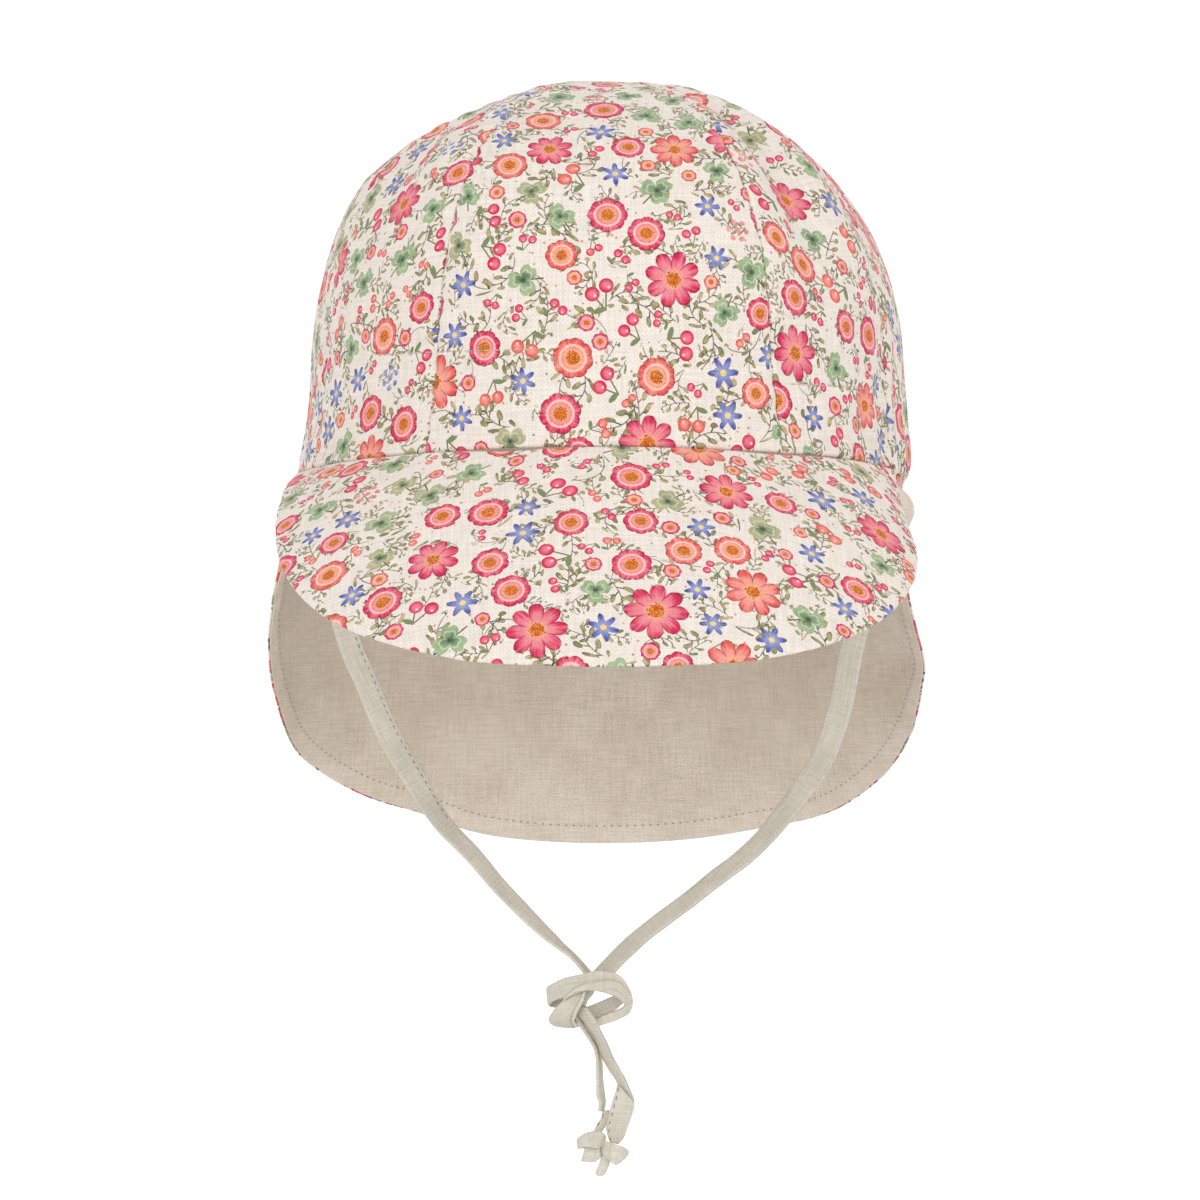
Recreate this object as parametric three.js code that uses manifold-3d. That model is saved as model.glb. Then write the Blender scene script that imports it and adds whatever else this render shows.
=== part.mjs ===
import * as THREE from 'three';
import { mergeVertices } from 'three/addons/utils/BufferGeometryUtils.js';
import Module from 'manifold-3d';

// A toddler's sun hat of soft linen: a crown of six gores, a drooping front peak, a neck flap
// and two ties in a loose half-bow. Sizes are in millimetres and angles in degrees.
// The hat's front faces -Y. An angle round the hat is 0 at the front and 90 at +X.
// The shapes are worked out with the front of the rim at z = 0, and the group at the end
// carries them down, so that the inside of the crown's top is at the origin.

// Crown
const RIM_HALF_LENGTH = 88;
const CROWN_HALF_WIDTH = 75.6;
const RIM_FLARE = 2.2;
const RIM_DROP = 12;
const CROWN_HEIGHT = 95;
const WALL_HEIGHT = 24;
const WALL_SHARE = 0.25;
const DOME_POWER = 2.24;
const TOP_SETBACK = 2;
const CROWN_THICKNESS = 1.6;
const TIP_RADIUS = 1.4;

// Peak. Its outline is a rounded crescent, shifted a little to the right, and its slope below
// the horizontal grows from the seam to the edge and lessens towards the sides.
const PEAK_LENGTH = 68;
const PEAK_SPREAD = 74;
const PEAK_ROUNDNESS = 3.1;
const PEAK_TAPER = 2.3;
const PEAK_THICKNESS = 2.4;
const PEAK_SLOPE_SEAM = 43;
const PEAK_SLOPE_EDGE = 55;
const PEAK_SLOPE_SIDE = -8.5;
const PEAK_SHIFT = 1.7;

// How far the peak's sides stand out, and the length over which they come to do so
const PEAK_FLARE = { left: 9, right: -4.5, reach: 14 };

// Neck flap
const FLAP_START = 76;
const FLAP_LENGTH = 91;
const FLAP_ROUNDNESS = 2.25;
const FLAP_TAPER = 0.55;
const FLAP_SWING = 0.11;
const LAYER_THICKNESS = 1;

// How far the flap stands out at its full length, and how much sooner than evenly it does so
const FLAP_FLARE = {
  back: { out: 6.5, spring: 0 },
  left: { out: 12, spring: 0.7 },
  right: { out: 14, spring: -1.1 },
};

// Ties
const TIE_WIDTH = 6;
const TIE_THICKNESS = 1.4;

// Clear space kept between neighbouring pieces
const GAP = 0.3;
const RIM_GAP = 0.6;

// The peak and the flap taper to nothing beside the ears, and are cut off at these shares of
// their spread, where a seam allowance is left.
const PEAK_CUT = 0.93;
const FLAP_CUT = 0.99;

const deg = THREE.MathUtils.degToRad;
const mix = THREE.MathUtils.lerp;
const smooth = THREE.MathUtils.smoothstep;

// Seams of the crown: the angle of each at the rim, and how far it bows from that halfway up
const SEAMS = {
  frontRight: { angle: 34, bow: -2.5 },
  sideRight: { angle: 69, bow: -1 },
  backRight: { angle: 136, bow: 0 },
  backLeft: { angle: 224, bow: 0 },
  sideLeft: { angle: 291, bow: 1 },
  frontLeft: { angle: 326, bow: 2.5 },
};

// Gores of the crown: the seams that bound each, and the columns of facets across it
const GORES = [
  { name: 'crown_front', from: 'frontLeft', to: 'frontRight', columns: 9 },
  { name: 'crown_front_right', from: 'frontRight', to: 'sideRight', columns: 10 },
  { name: 'crown_back_right', from: 'sideRight', to: 'backRight', columns: 24 },
  { name: 'crown_back', from: 'backRight', to: 'backLeft', columns: 32 },
  { name: 'crown_back_left', from: 'backLeft', to: 'sideLeft', columns: 24 },
  { name: 'crown_front_left', from: 'sideLeft', to: 'frontLeft', columns: 8 },
];
const GORE_ROWS = 12;

// Creases and broad hollows of the crown: the angle that each follows, the share of the rise
// where it starts and ends, its width in degrees and its depth
const CREASES = [
  { angle: 46, low: 0.3, high: 0.92, width: 6, depth: 3 },
  { angle: 57, low: -0.3, high: 0.4, width: 3.5, depth: 1.4 },
  { angle: 65, low: -0.3, high: 0.45, width: 3.5, depth: 1.6 },
  { angle: 306, low: 0.35, high: 0.9, width: 8, depth: 1.2 },
  { angle: 80, low: 0.4, high: 0.88, width: 30, depth: 1.5 },
  { angle: 92, low: -0.3, high: 0.4, width: 20, depth: -1 },
  { angle: 270, low: 0.05, high: 0.55, width: 25, depth: 1.4 },
  { angle: 272, low: 0.56, high: 1, width: 28, depth: 2.8 },
];

// Gathers along the rim behind the ears
const GATHER_START = 72;
const GATHER_SPACING = 11;
const GATHER_DEPTH = 1.3;
const GATHER_REACH = 0.4;

// Soft folds of the neck flap: the angle that each follows, its width and how far it stands out
const FLAP_FOLDS = [
  { angle: 100, width: 9, depth: 2 },
  { angle: 112, width: 9, depth: 2.5 },
  { angle: 150, width: 12, depth: -3 },
  { angle: 190, width: 12, depth: 2.5 },
  { angle: 226, width: 9, depth: -3.5 },
  { angle: 250, width: 9, depth: 3 },
  { angle: 262, width: 9, depth: 0.8 },
];

// Uneven places of the flap's hem: the angle of each, its width and how much lower it hangs
const HEM_DIPS = [
  { angle: 128, width: 14, drop: 2.1 },
  { angle: 219, width: 9, drop: -1.7 },
];

function bump(distance, width) {
  return Math.exp(-((distance / width) ** 2));
}

// The hat sits tipped to the back, so its rim drops from front to back.
function rimHeight(angle) {
  return -RIM_DROP * (1 - Math.cos(deg(angle))) / 2;
}

function creaseDepth(angle, rise) {
  let depth = 0;
  for (const crease of CREASES) {
    const middle = (crease.low + crease.high) / 2;
    const reach = (crease.high - crease.low) / 2;
    const along = Math.max(1 - ((rise - middle) / reach) ** 2, 0);
    depth += crease.depth * along * bump(angle - crease.angle, crease.width);
  }
  return depth;
}

function gatherDepth(angle, rise) {
  const fromBack = Math.abs(angle - 180);
  const share = 1 - smooth(fromBack, 180 - GATHER_START - GATHER_SPACING, 180 - GATHER_START);
  const fade = Math.max(1 - rise / GATHER_REACH, 0) ** 1.5;
  return GATHER_DEPTH * share * fade * (1 + Math.cos(deg(360 * fromBack / GATHER_SPACING))) / 2;
}

// The crown without its creases. The rise goes from 0 at the rim to 1 at the top.
function plainCrown(angle, rise) {
  const wall = Math.min(rise / WALL_SHARE, 1);
  const turn = Math.max((rise - WALL_SHARE) / (1 - WALL_SHARE), 0) * Math.PI / 2;
  const reach = Math.max(Math.cos(turn), 0) ** (2 / DOME_POWER);
  const lift = Math.sin(turn) ** (2 / DOME_POWER);
  const flare = RIM_FLARE * (1 - wall) ** 2;
  const wallTop = WALL_HEIGHT + rimHeight(angle) / 2;
  return new THREE.Vector3(
    (CROWN_HALF_WIDTH + flare) * reach * Math.sin(deg(angle)),
    TOP_SETBACK * lift - (RIM_HALF_LENGTH + flare) * reach * Math.cos(deg(angle)),
    mix(rimHeight(angle), wallTop, wall) + (CROWN_HEIGHT - wallTop) * lift,
  );
}

function crown(angle, rise) {
  const depth = creaseDepth(angle, rise) + gatherDepth(angle, rise);
  return plainCrown(angle, rise).addScaledVector(normal(plainCrown, angle, rise), -depth);
}

// A point at a distance out from the rim and a drop below it
function fromRim(angle, out, drop) {
  const reach = CROWN_HALF_WIDTH + RIM_FLARE + out;
  const length = RIM_HALF_LENGTH + RIM_FLARE + out;
  const height = rimHeight(angle) - RIM_GAP - drop;
  return new THREE.Vector3(reach * Math.sin(deg(angle)), -length * Math.cos(deg(angle)), height);
}

function peakFlare(angle, length) {
  const out = angle < 0 ? PEAK_FLARE.left : PEAK_FLARE.right;
  const share = Math.abs(Math.sin(deg(angle)) * angle / PEAK_SPREAD);
  return out * share * Math.sqrt(1 - Math.exp(-length / PEAK_FLARE.reach));
}

// Upper face of the peak, from 0 at its free edge to 1 at the seam
function peak(angle, rise) {
  const side = Math.abs(angle) / PEAK_SPREAD;
  const length = PEAK_LENGTH * Math.max(1 - side ** PEAK_ROUNDNESS, 0) ** PEAK_TAPER;
  const away = 1 - rise;
  const droop = (PEAK_SLOPE_EDGE - PEAK_SLOPE_SEAM) * away / 2;
  const slope = deg(PEAK_SLOPE_SEAM + PEAK_SLOPE_SIDE * side ** 1.2 + droop);
  const out = (length * Math.cos(slope) + peakFlare(angle, length)) * away;
  const point = fromRim(angle, out, length * away * Math.sin(slope));
  point.x += PEAK_SHIFT * away * (1 - side ** 2);
  return point;
}

function flapFlare(angle, fall) {
  const right = Math.max(Math.sin(deg(angle)), 0);
  const left = Math.max(-Math.sin(deg(angle)), 0);
  const shares = { back: 1 - right - left, left, right };
  let out = 0;
  for (const [side, { out: full, spring }] of Object.entries(FLAP_FLARE)) {
    out += shares[side] * full * fall * (1 + spring * (1 - fall));
  }
  for (const fold of FLAP_FOLDS) {
    out += fold.depth * fall * bump(angle - fold.angle, fold.width);
  }
  return out;
}

// Outer face of the neck flap, from 0 at its hem to 1 at the rim
function flap(angle, rise) {
  const side = Math.abs(angle - 180) / (180 - FLAP_START);
  let length = FLAP_LENGTH * Math.max(1 - side ** FLAP_ROUNDNESS, 0) ** FLAP_TAPER;
  for (const dip of HEM_DIPS) {
    length += dip.drop * bump(angle - dip.angle, dip.width);
  }
  const drop = (1 - rise) * length;
  const fall = drop / FLAP_LENGTH;
  const swung = 180 + (angle - 180) * (1 - FLAP_SWING * fall);
  const lowered = drop + rimHeight(swung) - rimHeight(angle);
  return fromRim(swung, flapFlare(angle, fall), lowered);
}

// Unit vector that points out of a surface
function normal(surface, angle, rise) {
  const step = 0.002;
  const across = surface(angle + step, rise).sub(surface(angle - step, rise));
  const up = surface(angle, rise + step / 10).sub(surface(angle, rise - step / 10));
  return across.cross(up).normalize();
}

// A closed wall of cloth whose outer face lies on a surface, or a depth below it. The spread
// turns a place across and up the piece, both 0 to 1, into the surface's angle and rise.
function cloth(surface, spread, columns, rows, thickness, depth = 0) {
  const geometry = new THREE.BoxGeometry(1, 1, 1, columns, rows, 1);
  const places = geometry.getAttribute('position');
  for (let i = 0; i < places.count; i += 1) {
    const { angle, rise } = spread(places.getX(i) + 0.5, places.getY(i) + 0.5);
    const inward = depth + thickness * (0.5 - places.getZ(i));
    const point = surface(angle, rise).addScaledVector(normal(surface, angle, rise), -inward);
    places.setXYZ(i, point.x, point.y, point.z);
  }
  geometry.deleteAttribute('uv');
  geometry.computeVertexNormals();
  return geometry;
}

function seamAngle(seam, rise) {
  return seam.angle + seam.bow * Math.sin(Math.PI * rise);
}

// A gore ends just short of the top and keeps clear of its neighbours along the seams.
function goreSpread(gore) {
  const lap = SEAMS[gore.from].angle > SEAMS[gore.to].angle ? 360 : 0;
  const tip = TIP_RADIUS / CROWN_HALF_WIDTH;
  const topTurn = Math.acos(tip ** (DOME_POWER / 2));
  const topRise = WALL_SHARE + (1 - WALL_SHARE) * topTurn / (Math.PI / 2);
  return (across, up) => {
    const rise = topRise * up;
    const from = seamAngle(SEAMS[gore.from], rise) - lap;
    const to = seamAngle(SEAMS[gore.to], rise);
    const edge = plainCrown(from, rise);
    const radius = Math.hypot(edge.x, edge.y - TOP_SETBACK);
    const trim = THREE.MathUtils.radToDeg(GAP / 2 / radius);
    return { angle: mix(from + trim, to - trim, across), rise };
  };
}

function material(color, roughness = 0.9) {
  return new THREE.MeshStandardMaterial({ color, roughness, metalness: 0 });
}

function piece(name, geometry, color) {
  const mesh = new THREE.Mesh(geometry, material(color));
  mesh.name = name;
  return mesh;
}

const PRINT = 0xf1e4da;
const LINING = 0xcbbdad;
const TAPE = 0xd0cbb9;

function crownPieces() {
  return GORES.map((gore) => {
    const geometry = cloth(crown, goreSpread(gore), gore.columns, GORE_ROWS, CROWN_THICKNESS);
    return piece(gore.name, geometry, PRINT);
  });
}

// Columns stand closer together towards both ends of the peak and of the flap.
function easedAcross(across) {
  const share = across * 2 - 1;
  return (share + Math.sin(share * Math.PI / 2)) / 2;
}

function peakPiece() {
  const end = PEAK_SPREAD * PEAK_CUT;
  const spread = (across, up) => ({ angle: end * easedAcross(across), rise: up });
  return piece('peak', cloth(peak, spread, 30, 6, PEAK_THICKNESS), PRINT);
}

function flapPieces() {
  const half = (180 - FLAP_START) * FLAP_CUT;
  const spread = (across, up) => ({ angle: 180 + half * easedAcross(across), rise: up });
  const outer = cloth(flap, spread, 42, 6, LAYER_THICKNESS);
  const inner = cloth(flap, spread, 42, 6, LAYER_THICKNESS, LAYER_THICKNESS + GAP);
  return [piece('neck_flap', outer, PRINT), piece('flap_lining', inner, LINING)];
}

// Flat section of a tie with rounded edges. At a turn of 0 its flat side faces the front, and at
// 90 it is seen edge on.
function tieSection(width, thickness, turn) {
  const section = new THREE.Shape();
  const sides = 8;
  for (let i = 0; i < sides; i += 1) {
    const around = (i + 0.5) * 2 * Math.PI / sides;
    const flat = thickness / 2 * Math.sign(Math.cos(around)) * Math.abs(Math.cos(around)) ** 0.5;
    const corner = new THREE.Vector2(flat, width / 2 * Math.sin(around));
    corner.rotateAround(new THREE.Vector2(), deg(turn));
    if (i === 0) section.moveTo(corner.x, corner.y);
    else section.lineTo(corner.x, corner.y);
  }
  section.closePath();
  return section;
}

function tape(route, steps, turn = 0, width = TIE_WIDTH) {
  const extrudePath = new THREE.CatmullRomCurve3(route.map((place) => new THREE.Vector3(...place)));
  const section = tieSection(width, TIE_THICKNESS, turn);
  return new THREE.ExtrudeGeometry(section, { extrudePath, steps });
}

// Routes of the ties, from inside the rim beside the ears down to the bow
const TIE_LEFT = [
  [-71.5, -9, -10], [-68.5, -10, -30], [-64.4, -11, -46.5], [-59.5, -12, -58],
  [-54.9, -12, -69], [-49.2, -12, -79], [-41.2, -12, -92], [-33.2, -12, -100.5],
  [-26.9, -12, -108], [-18.2, -12, -117], [-12.4, -12, -122.4], [-5.8, -12, -127.8],
];
const TIE_RIGHT = [
  [71.5, -9, -10], [67.5, -10, -30], [62.9, -11, -47], [59.3, -12, -64.4],
  [54.5, -12, -77.3], [46.2, -12, -89.2], [37.4, -12, -99.3], [26.8, -12, -107.6],
  [21.5, -12, -111.9], [11.1, -12, -119.7], [5, -12, -124.9], [1.2, -12, -128],
];

// Route of the bow's loop, clockwise from its left end
const BOW_LOOP = [
  [-12.8, -12, -136], [-12.4, -12, -133.9], [-10.2, -12, -132.4], [-6.6, -12, -131.6],
  [-1, -12, -131.2], [3.3, -12, -132.6], [5.6, -12, -135.6], [5.4, -12, -138.9],
  [3.1, -12, -141.1], [0, -12, -142.1], [-3.4, -12, -142.6],
];
const BOW_LOOP_TURN = 60;

// The turn of the tie that is wrapped round the bow, slanting up to the right
const BOW_WRAP = { centre: [-9.6, -12, -139.8], size: [10.5, 6, 4.8], slant: 45 };

// Routes of the free ends below the bow
const TAIL_LEFT = [
  [-4.8, -10.2, -145.2], [-3, -10.2, -148.8], [-1.6, -10.2, -153.1], [-1.1, -10.2, -158.9],
  [-1.1, -10.4, -163.2], [-1.6, -10.8, -166.4], [-2.9, -11, -168.7],
];
const TAIL_RIGHT = [
  [-3, -13.8, -145.2], [-1.5, -13.8, -148.8], [0.5, -13.8, -153.1], [2.8, -13.8, -157.1],
  [4.6, -13.8, -160.6], [4.9, -13.6, -164.2], [4, -13.2, -167.4], [3.2, -13, -169.8],
];

// Knots at the ends: the middle and size of each, and where its cut end points
const END_KNOTS = [
  { side: 'left', centre: [-4.4, -11, -171.8], size: [5.6, 4.6, 5], end: [-5.4, -11.4, -178] },
  { side: 'right', centre: [2.3, -12.6, -173.8], size: [6, 4.6, 5], end: [-0.9, -13, -181] },
];

const wasm = await Module();
wasm.setup();

function toSolid(geometry) {
  const bare = geometry.clone();
  bare.deleteAttribute('normal');
  bare.deleteAttribute('uv');
  const merged = mergeVertices(bare);
  const vertProperties = merged.getAttribute('position').array;
  const triVerts = merged.getIndex().array;
  return new wasm.Manifold(new wasm.Mesh({ numProp: 3, vertProperties, triVerts }));
}

function joined(first, second) {
  const mesh = toSolid(first).add(toSolid(second)).getMesh();
  const geometry = new THREE.BufferGeometry();
  geometry.setAttribute('position', new THREE.BufferAttribute(mesh.vertProperties, 3));
  geometry.setIndex(new THREE.BufferAttribute(mesh.triVerts, 1));
  geometry.computeVertexNormals();
  return geometry;
}

function lump({ centre, size, slant = 0 }) {
  const geometry = new THREE.SphereGeometry(0.5, 10, 8);
  geometry.scale(...size);
  geometry.rotateY(-deg(slant));
  geometry.translate(...centre);
  return geometry;
}

// An overhand knot with the short cut end that comes out of it
function endKnot(knot) {
  return joined(lump(knot), tape([knot.centre, knot.end], 1, 0, TIE_WIDTH * 0.8));
}

function tiePieces() {
  return [
    piece('tie_left', tape(TIE_LEFT, 22), TAPE),
    piece('tie_right', tape(TIE_RIGHT, 22), TAPE),
    piece('bow_loop', tape(BOW_LOOP, 20, BOW_LOOP_TURN), TAPE),
    piece('bow_wrap', lump(BOW_WRAP), TAPE),
    piece('tie_tail_left', tape(TAIL_LEFT, 8, 90, TIE_WIDTH / 2), TAPE),
    piece('tie_tail_right', tape(TAIL_RIGHT, 8), TAPE),
    ...END_KNOTS.map((knot) => piece(`tail_knot_${knot.side}`, endKnot(knot), TAPE)),
  ];
}

function hat() {
  const group = new THREE.Group();
  group.add(...crownPieces(), peakPiece(), ...flapPieces(), ...tiePieces());
  group.position.set(0, -TOP_SETBACK, CROWN_THICKNESS - CROWN_HEIGHT);
  return group;
}

export default hat();
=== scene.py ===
import math

import bpy
import numpy as np
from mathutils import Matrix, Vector


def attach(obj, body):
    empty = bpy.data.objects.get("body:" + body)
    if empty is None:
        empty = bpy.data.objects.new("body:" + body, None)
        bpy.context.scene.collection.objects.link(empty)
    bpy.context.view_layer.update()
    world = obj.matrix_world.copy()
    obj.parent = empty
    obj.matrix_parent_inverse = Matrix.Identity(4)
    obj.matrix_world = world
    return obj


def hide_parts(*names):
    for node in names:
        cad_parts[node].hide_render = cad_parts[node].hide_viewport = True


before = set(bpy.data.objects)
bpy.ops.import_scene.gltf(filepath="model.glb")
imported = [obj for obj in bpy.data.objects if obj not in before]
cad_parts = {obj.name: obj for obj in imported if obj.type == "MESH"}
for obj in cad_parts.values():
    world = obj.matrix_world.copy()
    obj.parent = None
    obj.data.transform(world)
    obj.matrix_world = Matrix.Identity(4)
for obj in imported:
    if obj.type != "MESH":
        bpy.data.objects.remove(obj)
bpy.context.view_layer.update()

# Crown, peak and flap, as in the solids
RIM_HALF_LENGTH = 88
CROWN_HALF_WIDTH = 75.6
RIM_FLARE = 2.2
RIM_DROP = 12
CROWN_HEIGHT = 95
WALL_HEIGHT = 24
WALL_SHARE = 0.25
DOME_POWER = 2.24
TOP_SETBACK = 2
CROWN_THICKNESS = 1.6
PEAK_LENGTH = 68
PEAK_SPREAD = 74
PEAK_ROUNDNESS = 3.1
PEAK_TAPER = 2.3
PEAK_THICKNESS = 2.4
PEAK_EDGE_THICKNESS = 1.1
PEAK_PADDED_FROM = 7
PEAK_SLOPE_SEAM = 43
PEAK_SLOPE_EDGE = 55
PEAK_SLOPE_SIDE = -8.5
PEAK_SHIFT = 1.7
PEAK_FLARE = {"left": 9, "right": -4.5, "reach": 14}
PEAK_CUT = 0.93
FLAP_START = 76
FLAP_LENGTH = 91
FLAP_ROUNDNESS = 2.25
FLAP_TAPER = 0.55
FLAP_SWING = 0.11
# How far the flap stands out at its hem, and how soon it does, later where this is below 0
FLAP_FLARE = {"back": (6.5, 0), "left": (12, 0.7), "right": (14, -1.1)}
FLAP_CUT = 0.99
LAYER_THICKNESS = 1
LAYER_GAP = 0.3
LAYER_GAP_OPENS = (1, 9)
TIE_WIDTH = 6

# The sewn hat closes up the clear space that the solids keep at the rim.
RIM_GAP = 0.1
TIP_RADIUS = 0.3

# Hems: how far the outer cloth is turned in round the edge, how far in from it the flap's lining
# starts, how far in the two are sewn together, and how thin each layer is pressed at the edge
HEM_TURNED = 0.8
HEM_INSET = {"back": 0.1, "sides": 0.5, "between": (35, 60)}
HEM_SEAM = 5
HEM_THICKNESS = 0.5

# Spacing of the fine mesh, how far in from an edge its rounding starts, how far in the rows
# beside the edge lie, and how much of the thickness the rounding takes up
MESH_STEP = 1.15
EDGE_ROUNDING = 0.9
EDGE_ROWS = (0, 0.12, 0.35, 0.7, 1.2)
EDGE_FULLNESS = 0.92
# How many places the rim of a hanging piece is measured at, and the seam inside its hem
EDGE_PLACES = 800
HEM_PLACES = 600

# Seams of the crown: the angle of each at the rim, and how far it bows from that halfway up
SEAMS = {
    "front_right": (34, -2.5),
    "side_right": (69, -1),
    "back_right": (136, 0),
    "back_left": (224, 0),
    "side_left": (291, 1),
    "front_left": (326, 2.5),
}

# Gores of the crown, named as their solids are, with the seams that bound each
GORES = {
    "crown_front": ("front_left", "front_right"),
    "crown_front_right": ("front_right", "side_right"),
    "crown_back_right": ("side_right", "back_right"),
    "crown_back": ("back_right", "back_left"),
    "crown_back_left": ("back_left", "side_left"),
    "crown_front_left": ("side_left", "front_left"),
}

# Creases and broad hollows of the crown: angle, share of the rise where each starts and ends,
# width and depth
CREASES = (
    (46, 0.3, 0.92, 6, 4), (59, 0.3, 0.85, 6, -0.9), (57, -0.3, 0.4, 3.5, 1.4),
    (65, -0.3, 0.45, 3.5, 1.6), (74, -0.3, 0.35, 2.5, 1.2), (306, 0.35, 0.9, 8, 1.2),
    (80, 0.4, 0.88, 30, 1.5), (92, -0.3, 0.4, 20, -1), (270, 0.05, 0.55, 25, 1.4),
    (272, 0.56, 1, 28, 2.8),
)

# Gathers of the crown at the back of the rim: the angle from the front where they start, how many
# degrees apart they are, their depth, and the share of the rise over which they fade
GATHER_START = 72
GATHER_SPACING = 11
GATHER_DEPTH = 1.3
GATHER_REACH = 0.4

# Folds of the neck flap: angle, width and how far each stands out
FLAP_FOLDS = (
    (100, 9, 2), (112, 9, 2.5), (150, 12, -3), (190, 12, 2.5), (226, 9, -3.5), (250, 9, 3),
    (262, 9, 0.8),
)

# Uneven places of the flap's hem: angle, width and how much lower each hangs
HEM_DIPS = ((128, 14, 2.1), (219, 9, -1.7))

# Tucks by which each cloth is drawn in at the right ear: angle, width, height, how far the tuck
# reaches up and down, and its depth
CROWN_TUCKS = ((86, 14, -9, 5, 3),)
PEAK_TUCKS = ((66, 12, -24, 11, 5.6),)
FLAP_TUCKS = ((97, 15, -36, 10, 2.6), (97, 15, -33, 5, 2), (86, 14, -9, 8, 2.6), (100, 14, -52, 6, -1.6))

# Puckers along the crown's seams: the length of the waves that make them uneven, with the seed
# of their draws, and then their height, how far apart they are, how far they reach from
# the seam, how unevenly they come, and the width of the groove that the seam itself lies in
PUCKER_WAVES = (30, 5)
PUCKER = {"height": 0.3, "spacing": 7, "reach": 4.5, "uneven": 3, "groove": 2}

# Soft waves are made of so many plain ones, of lengths that vary so, and divided by about their
# height when added up.
WAVE_COUNT = 9
WAVE_LENGTHS = (0.6, 1.6)
WAVE_HEIGHT = 4

# Soft waves of each cloth: their height, their length and the seed of their draws
CROWN_WAVES = ((0.55, 46, 1), (0.15, 12, 2))
PEAK_WAVES = ((0.4, 42, 3), (0.1, 12, 4))
PEAK_EDGE_WAVES = ((0.16, 5, 8),)
PEAK_EDGE_REACH = 3
FLAP_LONG_WAVES = ((0.7, 34, 6),)
FLAP_WAVES = ((0.15, 13, 7),)
# How much the height counts in the flap's long waves, little so that they run upright
FLAP_UPRIGHT = 0.25

# Camera, level and straight in front: its place in the rim's frame, the distance from which
# the photo was taken, and the width of the view at the crown's middle
CAMERA_PLACE = (-1.02, -1248, -36.4)
VIEW_DISTANCE = 1250
VIEW_WIDTH = 306
SENSOR_WIDTH = 36


def row_frame(points):
    lowered = np.asarray(points, float) + (0, -TOP_SETBACK, CROWN_THICKNESS - CROWN_HEIGHT)
    return lowered / 1000


def bump(distance, width):
    return np.exp(-(distance / width) ** 2)


def bumps(angle, rows):
    """Bumps round the hat, added up: the angle, the width and the height of each."""
    return sum(height * bump(angle - middle, width) for middle, width, height in rows)


def turn_from(angle, start):
    """How far the angle is on from the start, from -180 to 180."""
    return (angle - start + 180) % 360 - 180


def smooth_step(value, low, high):
    share = np.clip((value - low) / (high - low), 0, 1)
    return share * share * (3 - 2 * share)


def unit(vectors):
    return vectors / np.linalg.norm(vectors, axis=-1, keepdims=True)


def add_object(name, data):
    made = bpy.data.objects.new(name, data)
    bpy.context.scene.collection.objects.link(made)
    return made


def make_camera():
    camera = add_object("camera", bpy.data.cameras.new("camera"))
    camera.data.sensor_width = SENSOR_WIDTH
    camera.data.lens = SENSOR_WIDTH * VIEW_DISTANCE / VIEW_WIDTH
    camera.data.clip_start = 0.05
    camera.data.clip_end = 50
    camera.location = row_frame(CAMERA_PLACE)
    camera.rotation_euler = (math.pi / 2, 0, 0)
    bpy.context.scene.camera = camera


# Surfaces of the hat, each from an angle round it and a rise up the piece

def rim_height(angle):
    return -RIM_DROP * (1 - np.cos(np.radians(angle))) / 2


def plain_crown(angle, rise):
    wall = np.minimum(rise / WALL_SHARE, 1)
    turn = np.clip((rise - WALL_SHARE) / (1 - WALL_SHARE), 0, 1) * np.pi / 2
    reach = np.cos(turn) ** (2 / DOME_POWER)
    lift = np.sin(turn) ** (2 / DOME_POWER)
    flare = RIM_FLARE * (1 - wall) ** 2
    rim = rim_height(angle)
    wall_top = WALL_HEIGHT + rim / 2
    x = (CROWN_HALF_WIDTH + flare) * reach * np.sin(np.radians(angle))
    y = TOP_SETBACK * lift - (RIM_HALF_LENGTH + flare) * reach * np.cos(np.radians(angle))
    z = rim + (wall_top - rim) * wall + (CROWN_HEIGHT - wall_top) * lift
    return np.stack([x, y, z], axis=-1)


def from_rim(angle, out, drop):
    reach = CROWN_HALF_WIDTH + RIM_FLARE + out
    length = RIM_HALF_LENGTH + RIM_FLARE + out
    x = reach * np.sin(np.radians(angle))
    y = -length * np.cos(np.radians(angle))
    return np.stack([x, y, rim_height(angle) - RIM_GAP - drop], axis=-1)


def peak_length(angle):
    side = np.abs(angle) / PEAK_SPREAD
    return PEAK_LENGTH * np.maximum(1 - side ** PEAK_ROUNDNESS, 0) ** PEAK_TAPER


def peak_surface(angle, rise):
    side = np.abs(angle) / PEAK_SPREAD
    length = peak_length(angle)
    away = 1 - rise
    droop = (PEAK_SLOPE_EDGE - PEAK_SLOPE_SEAM) * away / 2
    slope = np.radians(PEAK_SLOPE_SEAM + PEAK_SLOPE_SIDE * side ** 1.2 + droop)
    flare = np.where(angle < 0, PEAK_FLARE["left"], PEAK_FLARE["right"])
    flare = flare * np.abs(np.sin(np.radians(angle))) * side
    flare = flare * np.sqrt(1 - np.exp(-length / PEAK_FLARE["reach"]))
    out = (length * np.cos(slope) + flare) * away
    point = from_rim(angle, out, length * away * np.sin(slope))
    point[..., 0] += PEAK_SHIFT * away * (1 - side ** 2)
    return point


def flap_length(angle):
    side = np.abs(angle - 180) / (180 - FLAP_START)
    length = FLAP_LENGTH * np.maximum(1 - side ** FLAP_ROUNDNESS, 0) ** FLAP_TAPER
    return length + bumps(angle, HEM_DIPS)


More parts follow.
